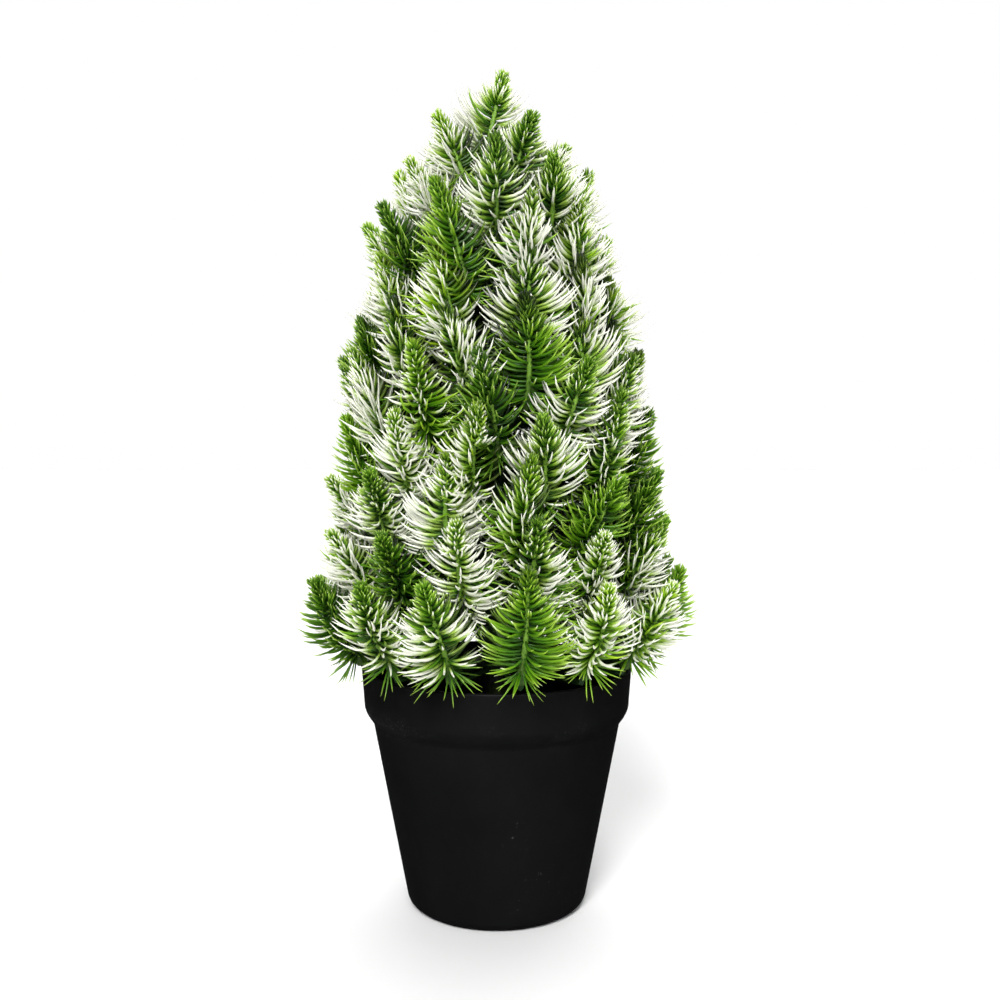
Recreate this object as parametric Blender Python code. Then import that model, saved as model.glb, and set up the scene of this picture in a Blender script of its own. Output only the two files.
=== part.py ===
"""Artificial tabletop tree: frosted pine sprigs on a stemmed frame, standing in a weighted plastic pot.

Metres, +Z up. The origin is on the floor under the middle of the pot, and -Y is the front.
"""

import math

import bmesh
import bpy
from mathutils import Vector

# Overall
TREE_HEIGHT = 0.400
FIT = 0.0003  # gap between pieces that touch or fit together

# Pot
POT_HEIGHT = 0.1155
RIM_RADIUS = 0.0655
BAND_HEIGHT = 0.0258  # rim band, step included
STEP_HEIGHT = 0.0087  # rounded step from the body out to the band
STEP_DEPTH = 0.0043
BAND_DRAFT = 0.0012  # the band leans out by this much over its height
BASE_RADIUS = 0.0428
BASE_ROUND = 0.0058
POT_WALL = 0.0022
LIP_ROUND = 0.0007
FOOT_WIDTH = 0.0040
FOOT_RECESS = 0.0018

# Weight and what stands in it
WEIGHT_TOP = 0.0560
COVER_THICKNESS = 0.0025
SOCKET_BOTTOM = 0.0120
SOCKET_WALL = 0.0030
SOCKET_RISE = 0.0080  # how far the socket stands above the weight
ANCHOR_WIDTH = 0.0075  # the flange that keeps the socket in the weight
ANCHOR_HEIGHT = 0.0030

# Stem
STEM_RADIUS = 0.0050
STEM_WALL = 0.0013
ROD_END = 0.0040  # how far the steel rod stops short of the tube's ends
STOP_RING_HEIGHT = 0.0050
STOP_RING_RADIUS = 0.0085

# Whorls: the moulded stars on the stem that carry the sprigs
SPRIGS_PER_WHORL = (14, 14, 12, 12, 12, 12, 10, 10, 8, 6)  # lowest first
WHORL_TURNS = (9, 0, 10, 5, 0, 0, 15, 0, 0, -10)  # degrees on the stem, past the half-step stagger
COLLAR_WALL = 0.0022
FLANGE_RADIUS = 0.0115
FLANGE_HEIGHT = 0.0044
ARM_RADIUS = 0.0016
ARM_RISE = 0.0030  # from the flange up to the elbow
ELBOW_DROP = 0.0030  # from the end of the sprig's stub down to the elbow
PEG_LENGTH = 0.0060

# Sprigs
SPRIG_LENGTH = 0.046
SPRIG_HALF_WIDTH = 0.0150
SPRIG_HALF_DEPTH = 0.0080  # most that a sprig stands off its axis towards its neighbours above and below
SKIRT_REACH = 0.0135  # the lowest tier has no neighbour outside, so it is fuller there
STUB_RADIUS = 0.0036
SOCKET_PLAY = 0.0004
BAR_HALF = 0.0014  # the bar that joins the sprigs of one spray
BAR_STATION = 0.0105  # its place along the sprigs
SPRIGS_PER_SPRAY = 3

# Crown: where the tips of the sprigs are
SKIRT_CLEARANCE = 0.0055  # from the rim up to the stubs of the lowest tier
TOP_TIER_DROP = 0.0260  # from the leader's tip down to the tips of the top tier
CROWN_RADIUS = 0.076
CROWN_FULLNESS = 2.6
CROWN_ROUND = 0.62
FLARE = 0.012
FLARE_FADE = 0.026
TILT_LOW = math.radians(27)
TILT_TOP = math.radians(20)
LEADER_HALF = 0.0085
LEADER_LEAN = math.radians(13)
LEADER_OFFSET = -0.0065
CAP_HEIGHT = 0.0120

ROUND_SEGMENTS = 40
SMALL_SEGMENTS = 16
SIDES = 6  # round a sprig
ARM_SIDES = 4

COLOURS = {
    "pot_plastic": ((0.010, 0.010, 0.011), 0.55, 0.0),
    "cement": ((0.32, 0.31, 0.29), 0.90, 0.0),
    "black_plastic": ((0.012, 0.012, 0.012), 0.60, 0.0),
    "stem_plastic": ((0.045, 0.055, 0.020), 0.55, 0.0),
    "steel": ((0.45, 0.45, 0.46), 0.35, 1.0),
    "whorl_plastic": ((0.020, 0.060, 0.014), 0.50, 0.0),
    "pine_plastic": ((0.090, 0.220, 0.030), 0.45, 0.0),
}


def material(name):
    found = bpy.data.materials.get(name)
    if found:
        return found
    colour, roughness, metallic = COLOURS[name]
    made = bpy.data.materials.new(name)
    made.use_nodes = True
    shader = made.node_tree.nodes["Principled BSDF"]
    shader.inputs["Base Color"].default_value = (*colour, 1.0)
    shader.inputs["Roughness"].default_value = roughness
    shader.inputs["Metallic"].default_value = metallic
    made.diffuse_color = (*colour, 1.0)
    return made


def add_object(name, mesh, material_name, smooth=True):
    mesh.materials.append(material(material_name))
    if smooth:
        mesh.shade_smooth()
        mesh.set_sharp_from_angle(angle=math.radians(35))
    made = bpy.data.objects.new(name, mesh)
    bpy.context.scene.collection.objects.link(made)
    return made


def finish_mesh(name, bm):
    bmesh.ops.recalc_face_normals(bm, faces=bm.faces)
    mesh = bpy.data.meshes.new(name)
    bm.to_mesh(mesh)
    bm.free()
    return mesh


def turned_mesh(name, profile, segments, closed):
    """A profile of (radius, height) points turned round Z. An open one starts and ends on the axis."""
    bm = bmesh.new()
    points = [bm.verts.new((radius, 0.0, height)) for radius, height in profile]
    pairs = list(zip(points, points[1:]))
    if closed:
        pairs.append((points[-1], points[0]))
    edges = [bm.edges.new(pair) for pair in pairs]
    bmesh.ops.spin(
        bm,
        geom=points + edges,
        axis=(0.0, 0.0, 1.0),
        cent=(0.0, 0.0, 0.0),
        angle=math.tau,
        steps=segments,
        use_merge=True,
    )
    bmesh.ops.remove_doubles(bm, verts=bm.verts, dist=1e-6)
    return finish_mesh(name, bm)


def turned(name, profile, material_name, segments=ROUND_SEGMENTS, closed=True):
    return add_object(name, turned_mesh(name, profile, segments, closed), material_name)


def arc(centre, radius, start, end, steps):
    """Points on a round, from one angle to another, in degrees from the +radius direction."""
    angles = [math.radians(start + (end - start) * i / steps) for i in range(steps + 1)]
    return [(centre[0] + radius * math.cos(a), centre[1] + radius * math.sin(a)) for a in angles]


# ---------------------------------------------------------------- pot and weight


BAND_RADIUS = RIM_RADIUS - BAND_DRAFT
CREASE_RADIUS = BAND_RADIUS - STEP_DEPTH
CREASE_HEIGHT = POT_HEIGHT - BAND_HEIGHT
TAPER = (CREASE_RADIUS - BASE_RADIUS) / CREASE_HEIGHT
FLOOR = FOOT_RECESS + POT_WALL


def wall_radius(height):
    return BASE_RADIUS + TAPER * height


def inner_radius(height):
    return wall_radius(height) - POT_WALL * math.hypot(1.0, TAPER)


def step_points(offset, steps):
    """The rounded step under the band, from the crease up, moved in by an offset."""
    points = []
    for i in range(steps + 1):
        share = i / steps
        radius = CREASE_RADIUS - offset + STEP_DEPTH * math.sin(share * math.pi / 2)
        points.append((radius, CREASE_HEIGHT + STEP_HEIGHT * share))
    return points


def pot():
    lean = math.degrees(math.atan(TAPER))
    round_centre = wall_radius(BASE_ROUND) - BASE_ROUND * math.hypot(1.0, TAPER)
    foot_outside = round_centre
    foot_inside = foot_outside - FOOT_WIDTH
    lip_centre = RIM_RADIUS - LIP_ROUND
    lip_inside = RIM_RADIUS - POT_WALL
    profile = [(0.0, FOOT_RECESS), (foot_inside - FOOT_RECESS, FOOT_RECESS), (foot_inside, 0.0)]
    profile += arc((round_centre, BASE_ROUND), BASE_ROUND, -90.0, -lean, 4)
    profile += step_points(0.0, 5)
    profile.append((BAND_RADIUS + BAND_DRAFT * 0.5, (CREASE_HEIGHT + STEP_HEIGHT + POT_HEIGHT) / 2))
    profile += arc((lip_centre, POT_HEIGHT - LIP_ROUND), LIP_ROUND, 0.0, 90.0, 2)
    profile += [(lip_inside + LIP_ROUND * 0.5, POT_HEIGHT), (lip_inside, POT_HEIGHT - LIP_ROUND)]
    profile += reversed(step_points(POT_WALL, 3))
    profile.append((inner_radius(FLOOR + POT_WALL), FLOOR + POT_WALL))
    profile.append((inner_radius(FLOOR) - POT_WALL, FLOOR))
    profile.append((0.0, FLOOR))
    return turned("pot", profile, "pot_plastic", closed=False)


SOCKET_BORE = STEM_RADIUS + FIT
SOCKET_RADIUS = SOCKET_BORE + SOCKET_WALL
ANCHOR_RADIUS = SOCKET_RADIUS + ANCHOR_WIDTH
SOCKET_TOP = WEIGHT_TOP + SOCKET_RISE


def pot_weight():
    low = FLOOR + POT_WALL + FIT
    chamfer = POT_WALL
    bore = SOCKET_RADIUS + FIT
    undercut = ANCHOR_RADIUS + FIT
    profile = [
        (0.0, FLOOR + FIT),
        (inner_radius(FLOOR) - chamfer - FIT, FLOOR + FIT),
        (inner_radius(low) - FIT, low),
        (inner_radius(WEIGHT_TOP) - FIT, WEIGHT_TOP),
        (bore, WEIGHT_TOP),
        (bore, SOCKET_BOTTOM + ANCHOR_HEIGHT + FIT),
        (undercut, SOCKET_BOTTOM + ANCHOR_HEIGHT + FIT),
        (undercut, SOCKET_BOTTOM - FIT),
        (0.0, SOCKET_BOTTOM - FIT),
    ]
    return turned("pot_weight", profile, "cement", closed=False)


def weight_cover():
    low = WEIGHT_TOP + FIT
    high = low + COVER_THICKNESS
    hole = SOCKET_RADIUS + FIT
    edge = inner_radius(low) - FIT
    profile = [(hole, low), (edge, low), (edge, high - FIT), (edge - FIT, high), (hole, high)]
    return turned("weight_cover", profile, "black_plastic")


def stem_socket():
    floor = SOCKET_BOTTOM + SOCKET_WALL
    profile = [
        (0.0, SOCKET_BOTTOM),
        (ANCHOR_RADIUS, SOCKET_BOTTOM),
        (ANCHOR_RADIUS, SOCKET_BOTTOM + ANCHOR_HEIGHT),
        (SOCKET_RADIUS, SOCKET_BOTTOM + ANCHOR_HEIGHT),
        (SOCKET_RADIUS, SOCKET_TOP),
        (SOCKET_BORE, SOCKET_TOP),
        (SOCKET_BORE, floor),
        (0.0, floor),
    ]
    return turned("stem_socket", profile, "black_plastic", SMALL_SEGMENTS, closed=False)


# ---------------------------------------------------------------- where the tiers are


def crown_tip_radius(height, low, high):
    """Radius of the circle that the sprig tips of a tier at this height lie on."""
    share = (height - low) / (high - low)
    dome = CROWN_RADIUS * (1.0 - share**CROWN_FULLNESS) ** CROWN_ROUND
    return dome + FLARE * math.exp(-(height - low) / FLARE_FADE)


class Tier:
    """One whorl and its sprigs. Radii and heights are those of the sprigs' axes."""

    def __init__(self, index):
        last = len(SPRIGS_PER_WHORL) - 1
        low = POT_HEIGHT + SKIRT_CLEARANCE + SPRIG_LENGTH * math.cos(TILT_LOW)
        high = TREE_HEIGHT - TOP_TIER_DROP
        self.index = index
        self.tilt = TILT_LOW + (TILT_TOP - TILT_LOW) * index / last
        self.pitch = (high - low) / last
        self.tip_height = low + self.pitch * index
        self.tip_radius = crown_tip_radius(self.tip_height, low, TREE_HEIGHT)
        self.base_height = self.tip_height - SPRIG_LENGTH * math.cos(self.tilt)
        self.base_radius = self.tip_radius - SPRIG_LENGTH * math.sin(self.tilt)
        self.count = SPRIGS_PER_WHORL[index]
        self.turn = (index % 2) * math.pi / self.count + math.radians(WHORL_TURNS[index])
        self.elbow_height = self.base_height - ELBOW_DROP * math.cos(self.tilt)
        self.flange_height = self.elbow_height - ARM_RISE

    def angle(self, sprig):
        return self.turn + math.tau * sprig / self.count - math.pi / 2

    def outward(self, sprig):
        return Vector((math.cos(self.angle(sprig)), math.sin(self.angle(sprig)), 0.0))

    def axis(self, sprig):
        return self.outward(sprig) * math.sin(self.tilt) + Vector((0.0, 0.0, math.cos(self.tilt)))

    def at(self, sprig, station):
        """The point on a sprig's axis this far from the end of its stub."""
        base = self.outward(sprig) * self.base_radius + Vector((0.0, 0.0, self.base_height))
        return base + self.axis(sprig) * station

    def half_room(self, station):
        """Half of the distance to the next sprig of the tier, at a station."""
        radius = self.base_radius + station * math.sin(self.tilt)
        return radius * math.sin(math.pi / self.count)


def distance_between(lower, upper):
    """Least distance between the axes of two tiers, seen in the plane through the stem."""
    gaps = []
    for radius, height in ((upper.base_radius, upper.base_height), (upper.tip_radius, upper.tip_height)):
        across = (lower.base_radius - radius) * math.cos(lower.tilt)
        along = (height - lower.base_height) * math.sin(lower.tilt)
        gaps.append(across + along)
    return min(gaps)


TIERS = [Tier(index) for index in range(len(SPRIGS_PER_WHORL))]
HALF_DEPTH = min(
    SPRIG_HALF_DEPTH,
    min(distance_between(lower, upper) for lower, upper in zip(TIERS, TIERS[1:])) / 2 - FIT,
)

# ---------------------------------------------------------------- stem


CAP_BOTTOM = TIERS[-1].flange_height + FLANGE_HEIGHT / 2 + FIT
STEM_TOP = CAP_BOTTOM + CAP_HEIGHT - STEM_WALL * 2
STEM_BOTTOM = SOCKET_BOTTOM + SOCKET_WALL + FIT


def ring_profile(inside, outside, low, high):
    return [(inside, low), (outside, low), (outside, high), (inside, high)]


def stem_tube():
    inside = STEM_RADIUS - STEM_WALL
    profile = ring_profile(inside, STEM_RADIUS, STEM_BOTTOM, STEM_TOP)
    return turned("stem_tube", profile, "stem_plastic", SMALL_SEGMENTS)


def core_rod():
    radius = STEM_RADIUS - STEM_WALL - FIT
    low = STEM_BOTTOM + ROD_END
    high = STEM_TOP - ROD_END
    profile = [(0.0, low), (radius, low), (radius, high), (0.0, high)]
    return turned("core_rod", profile, "steel", SMALL_SEGMENTS, closed=False)


def stop_ring():
    high = TIERS[0].flange_height - FLANGE_HEIGHT / 2 - FIT
    profile = ring_profile(STEM_RADIUS + FIT, STOP_RING_RADIUS, high - STOP_RING_HEIGHT, high)
    return turned("stop_ring", profile, "black_plastic", SMALL_SEGMENTS)


# ---------------------------------------------------------------- whorls


def add_tube(bm, points, radii, across):
    """A square tube through the points, closed at both ends. across is square to its whole run."""
    rings = []
    for i, point in enumerate(points):
        before = (point - points[i - 1]).normalized() if i else None
        after = (points[i + 1] - point).normalized() if i + 1 < len(points) else None
        run = (before + after).normalized() if before and after else before or after
        side = across.cross(run).normalized()
        ring = []
        for k in range(ARM_SIDES):
            turn = math.tau * k / ARM_SIDES
            ring.append(bm.verts.new(point + radii[i] * (math.cos(turn) * across + math.sin(turn) * side)))
        rings.append(ring)
    for low, high in zip(rings, rings[1:]):
        for k in range(ARM_SIDES):
            bm.faces.new((low[k], low[k - 1], high[k - 1], high[k]))
    bm.faces.new(rings[0])
    bm.faces.new(reversed(rings[-1]))


def whorl(tier):
    name = f"whorl_{tier.index + 1:02d}"
    bore = STEM_RADIUS + FIT
    collar = bore + COLLAR_WALL
    low = tier.flange_height - FLANGE_HEIGHT / 2
    flange_top = tier.flange_height + FLANGE_HEIGHT / 2
    profile = [(bore, low), (FLANGE_RADIUS, low), (FLANGE_RADIUS, flange_top)]
    if tier is not TIERS[-1]:
        above = TIERS[tier.index + 1].flange_height - FLANGE_HEIGHT / 2 - FIT
        profile += [(collar, flange_top), (collar, above), (bore, above)]
    else:
        profile.append((bore, flange_top))
    made = turned(name, profile, "whorl_plastic", SMALL_SEGMENTS)

    bm = bmesh.new()
    for sprig in range(tier.count):
        outward = tier.outward(sprig)
        across = Vector((0.0, 0.0, 1.0)).cross(outward)
        root = outward * (FLANGE_RADIUS - ARM_RADIUS) + Vector((0.0, 0.0, tier.flange_height))
        points = [root, tier.at(sprig, -ELBOW_DROP), tier.at(sprig, PEG_LENGTH)]
        add_tube(bm, points, [ARM_RADIUS, ARM_RADIUS, ARM_RADIUS * 0.9], across)
    arms = helper(name + "_arms", finish_mesh(name + "_arms", bm))
    join(made, arms)
    return made


def helper(name, mesh):
    """A mesh that a Boolean uses and that is no piece by itself."""
    made = bpy.data.objects.new(name, mesh)
    made.hide_render = True
    made.display_type = "WIRE"
    bpy.context.scene.collection.objects.link(made)
    return made


def join(target, other):
    modifier = target.modifiers.new("join", "BOOLEAN")
    modifier.operation = "UNION"
    modifier.solver = "EXACT"
    modifier.object = other


# ---------------------------------------------------------------- sprigs


def add_sprig(bm, at, axis, outward, sections):
    """One sprig's solid: a hollow stub, then six-sided sections out to the tip.

    A section is (station, half width, depth inwards, depth outwards).
    """
    across = axis.cross(outward).normalized()
    out = across.cross(axis).normalized()

    def ring(station, half_width, inwards, outwards):
        shape = [
            (half_width, 0.0),
            (half_width / 2, outwards),
            (-half_width / 2, outwards),
            (-half_width, 0.0),
            (-half_width / 2, -inwards),
            (half_width / 2, -inwards),
        ]
        return [bm.verts.new(at + axis * station + across * x + out * y) for x, y in shape]

    def bridge(low, high):
        for k in range(SIDES):
            bm.faces.new((low[k - 1], low[k], high[k], high[k - 1]))

    flat = math.sin(math.pi / 3)
    hole = (ARM_RADIUS + SOCKET_PLAY) / flat
    pocket_low = ring(0.0, hole, hole * flat, hole * flat)
    pocket_high = ring(PEG_LENGTH + SOCKET_PLAY, hole, hole * flat, hole * flat)
    rings = [ring(0.0, STUB_RADIUS, STUB_RADIUS * flat, STUB_RADIUS * flat)]
    rings += [ring(*section) for section in sections]
    for low, high in zip(rings, rings[1:]):
        bridge(low, high)
    bridge(pocket_high, pocket_low)
    bridge(pocket_low, rings[0])
    bm.faces.new(rings[-1])
    bm.faces.new(pocket_high)


def tier_sections(tier):
    """The sections of one tier's sprigs, kept clear of their neighbours."""
    outer = SKIRT_REACH if tier.index == 0 else HALF_DEPTH
    sections = []
    for share, width, depth in ((0.34, 1.0, 1.0), (0.72, 0.66, 0.85), (1.0, 0.24, 0.42)):
        station = SPRIG_LENGTH * share
        room = tier.half_room(station) - FIT
        half_width = min(SPRIG_HALF_WIDTH * width, room)
        sections.append((station, half_width, HALF_DEPTH * depth, outer * depth))
    return sections


def add_bar(bm, start, end, outward):
    """A square bar between two points on neighbouring axes."""
    run = (end - start).normalized()
    up = run.cross(outward).normalized()
    side = up.cross(run)
    rings = []
    for point in (start + run * BAR_HALF, end - run * BAR_HALF):
        corners = ((-1, -1), (1, -1), (1, 1), (-1, 1))
        rings.append([bm.verts.new(point + BAR_HALF * (x * side + y * up)) for x, y in corners])
    for k in range(4):
        bm.faces.new((rings[0][k - 1], rings[0][k], rings[1][k], rings[1][k - 1]))
    bm.faces.new(rings[0])
    bm.faces.new(rings[1])


def spray(tier, number, members):
    """A moulding of up to three sprigs on one bar, pushed on that many pegs."""
    name = f"spray_{tier.index + 1:02d}_{number + 1}"
    bm = bmesh.new()
    for sprig in members:
        add_sprig(bm, tier.at(sprig, 0.0), tier.axis(sprig), tier.outward(sprig), tier_sections(tier))
    made = add_object(name, finish_mesh(name, bm), "pine_plastic", smooth=False)
    bars = bmesh.new()
    for first, second in zip(members, members[1:]):
        ends = (tier.at(first, BAR_STATION), tier.at(second, BAR_STATION))
        add_bar(bars, *ends, tier.outward(first) + tier.outward(second))
    join(made, helper(name + "_bars", finish_mesh(name + "_bars", bars)))
    return made


def sprays(tier):
    groups = math.ceil(tier.count / SPRIGS_PER_SPRAY)
    edges = [round(tier.count * i / groups) for i in range(groups + 1)]
    return [spray(tier, i, range(edges[i], edges[i + 1])) for i in range(groups)]


# ---------------------------------------------------------------- leader


LEADER_AXIS = Vector((math.sin(LEADER_LEAN), 0.0, math.cos(LEADER_LEAN)))
LEADER_BASE = Vector((LEADER_OFFSET, 0.0, TREE_HEIGHT - SPRIG_LENGTH * LEADER_AXIS.z))


def top_cap():
    """Closes the stem, clamps the stack of whorls and carries the leader's peg."""
    bore = STEM_RADIUS + FIT
    outside = bore + COLLAR_WALL
    top = CAP_BOTTOM + CAP_HEIGHT
    profile = [
        (0.0, STEM_TOP + FIT),
        (bore, STEM_TOP + FIT),
        (bore, CAP_BOTTOM),
        (outside, CAP_BOTTOM),
        (outside, top - COLLAR_WALL),
        (outside - COLLAR_WALL, top),
        (0.0, top),
    ]
    made = turned("top_cap", profile, "whorl_plastic", SMALL_SEGMENTS, closed=False)
    bm = bmesh.new()
    root = Vector((0.0, 0.0, top - COLLAR_WALL * 0.4))
    points = [root, LEADER_BASE - LEADER_AXIS * ELBOW_DROP, LEADER_BASE + LEADER_AXIS * PEG_LENGTH]
    add_tube(bm, points, [ARM_RADIUS, ARM_RADIUS, ARM_RADIUS * 0.9], Vector((0.0, 1.0, 0.0)))
    join(made, helper("top_cap_peg", finish_mesh("top_cap_peg", bm)))
    return made


def leader_sprig():
    sections = []
    for share, size in ((0.34, 1.0), (0.72, 0.75), (1.0, 0.35)):
        half = LEADER_HALF * size
        sections.append((SPRIG_LENGTH * share, half, half, half))
    bm = bmesh.new()
    add_sprig(bm, LEADER_BASE, LEADER_AXIS, Vector((0.0, -1.0, 0.0)), sections)
    return add_object("leader_sprig", finish_mesh("leader_sprig", bm), "pine_plastic", smooth=False)


def clear_scene():
    for old in list(bpy.data.objects):
        bpy.data.objects.remove(old, do_unlink=True)


def main():
    clear_scene()
    pot()
    pot_weight()
    weight_cover()
    stem_socket()
    stem_tube()
    core_rod()
    stop_ring()
    for tier in TIERS:
        whorl(tier)
        sprays(tier)
    top_cap()
    leader_sprig()


main()
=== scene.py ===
import math

import bmesh
import bpy
import numpy as np
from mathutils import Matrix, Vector


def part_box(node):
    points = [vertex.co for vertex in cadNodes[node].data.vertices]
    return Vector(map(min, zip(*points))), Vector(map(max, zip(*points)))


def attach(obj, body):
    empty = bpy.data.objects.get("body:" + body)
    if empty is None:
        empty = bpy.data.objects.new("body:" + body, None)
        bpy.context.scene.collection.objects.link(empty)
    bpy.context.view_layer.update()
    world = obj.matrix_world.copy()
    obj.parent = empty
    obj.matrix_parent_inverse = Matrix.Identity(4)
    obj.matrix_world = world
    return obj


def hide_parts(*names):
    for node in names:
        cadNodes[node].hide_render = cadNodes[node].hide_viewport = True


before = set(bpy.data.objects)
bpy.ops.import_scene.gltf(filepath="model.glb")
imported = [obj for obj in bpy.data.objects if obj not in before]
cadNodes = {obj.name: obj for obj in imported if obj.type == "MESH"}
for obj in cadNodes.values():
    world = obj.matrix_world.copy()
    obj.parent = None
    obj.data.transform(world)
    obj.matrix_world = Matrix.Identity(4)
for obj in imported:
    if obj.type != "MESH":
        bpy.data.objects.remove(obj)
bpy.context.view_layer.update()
print("frame loaded:", len(cadNodes), "nodes")


# small helpers shared by every piece


def newMesh(name, points, quads, materials, smooth=True):
    mesh = bpy.data.meshes.new(name)
    mesh.from_pydata(points.tolist(), [], quads.tolist())
    for made in materials:
        mesh.materials.append(made)
    mesh.polygons.foreach_set("use_smooth", np.full(len(quads), smooth))
    mesh.update()
    return mesh


def addPiece(name, mesh, nodeNames):
    piece = bpy.data.objects.new(name, mesh)
    bpy.context.scene.collection.objects.link(piece)
    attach(piece, "root")
    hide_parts(*nodeNames)


def addValues(mesh, name, values):
    mesh.attributes.new(name, "FLOAT", "POINT").data.foreach_set("value", values.astype(np.float32))


def newMaterial(name):
    made = bpy.data.materials.new(name)
    made.use_nodes = True
    tree = made.node_tree
    return made, tree.nodes, tree.links, tree.nodes["Principled BSDF"]


def colourRamp(nodes, links, value, stops):
    node = nodes.new("ShaderNodeValToRGB")
    elements = node.color_ramp.elements
    while len(elements) < len(stops):
        elements.new(0.5)
    for element, (place, colour) in zip(elements, stops):
        element.position = place
        element.color = (*colour, 1.0)
    links.new(value, node.inputs["Fac"])
    return node.outputs["Color"]


def mathNode(nodes, links, kind, first, second=None, third=None):
    node = nodes.new("ShaderNodeMath")
    node.operation = kind
    for socket, value in zip(node.inputs, (first, second, third)):
        if isinstance(value, (int, float)):
            socket.default_value = value
        elif value is not None:
            links.new(value, socket)
    return node.outputs[0]


def swingNode(nodes, links, noise, swing, middle):
    # noise from 0 to 1 becomes half the swing either way from the middle
    return mathNode(nodes, links, "MULTIPLY_ADD", noise, swing, middle - swing / 2)


def rangeNode(nodes, links, value, source, target=(0.0, 1.0)):
    node = nodes.new("ShaderNodeMapRange")
    links.new(value, node.inputs["Value"])
    for name, number in zip(("From Min", "From Max", "To Min", "To Max"), (*source, *target)):
        node.inputs[name].default_value = number
    return node.outputs["Result"]


def mixColours(nodes, links, share, first, second, kind="MIX"):
    node = nodes.new("ShaderNodeMix")
    node.data_type = "RGBA"
    node.blend_type = kind
    for socket, value in ((node.inputs[0], share), (node.inputs[6], first), (node.inputs[7], second)):
        if isinstance(value, (int, float)):
            socket.default_value = value
        elif isinstance(value, tuple):
            socket.default_value = (*value, 1.0)
        else:
            links.new(value, socket)
    return node.outputs[2]


def noiseNode(nodes, links, place, scale, detail, roughness=0.5):
    node = nodes.new("ShaderNodeTexNoise")
    node.inputs["Scale"].default_value = scale
    node.inputs["Detail"].default_value = detail
    node.inputs["Roughness"].default_value = roughness
    links.new(place, node.inputs["Vector"])
    return node.outputs["Fac"]


def objectPlace(nodes):
    return nodes.new("ShaderNodeTexCoord").outputs["Object"]


def bumpFrom(nodes, links, height, depth, strength, before=None):
    node = nodes.new("ShaderNodeBump")
    node.inputs["Distance"].default_value = depth
    node.inputs["Strength"].default_value = strength
    links.new(height, node.inputs["Height"])
    if before is not None:
        links.new(before, node.inputs["Normal"])
    return node.outputs["Normal"]


# needles: green at the root, and painted cream-white at the tips where the sprig is frosted

needleLook = {
    "rootGreen": (0.009, 0.044, 0.002),
    "midGreen": (0.062, 0.208, 0.004),
    "tipGreen": (0.250, 0.480, 0.018),
    "frostEdge": (0.450, 0.660, 0.090),
    "frost": (0.940, 0.950, 0.830),
    # painted shade: the colour, strength and fall of the darkening painted on needles deep in the crown
    "paintedShadeGreen": (0.003, 0.010, 0.001),
    "paintedShadeStrength": 0.99,
    "paintedShadeFall": 0.7,  # lower darkens sooner
    "paintedShadeFrostLoss": 0.55,  # how much of the paint is missing on the inner growth
    "midAt": 0.30,
    "paleAt": 0.62,
    # what a sprig's own depth of green multiplies its colour by
    "tints": (
        (0.00, (0.30, 0.40, 0.42)),
        (0.45, (0.92, 0.95, 0.85)),
        (0.75, (1.50, 1.28, 1.00)),
        (1.00, (2.10, 1.60, 1.20)),
    ),
    # how far into the painted tip the thin edge and the full paint begin and end
    "edgeRange": (-0.24, 0.06),
    "paintRange": (-0.02, 0.22),
    "ragged": 0.16,
    "mottleScale": 900.0,
    "mottleGreen": 0.20,
    "blotchScale": 55.0,
    "blotchGreen": 0.30,
    "roughness": 0.36,
    "mottleRoughness": 0.18,
    "paintRoughness": 0.16,
    "bump": 0.00012,
    "bumpStrength": 0.6,
    "specular": 0.5,
}


def valuesFrom(nodes, name):
    node = nodes.new("ShaderNodeAttribute")
    node.attribute_name = name
    return node.outputs["Fac"]


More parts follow.
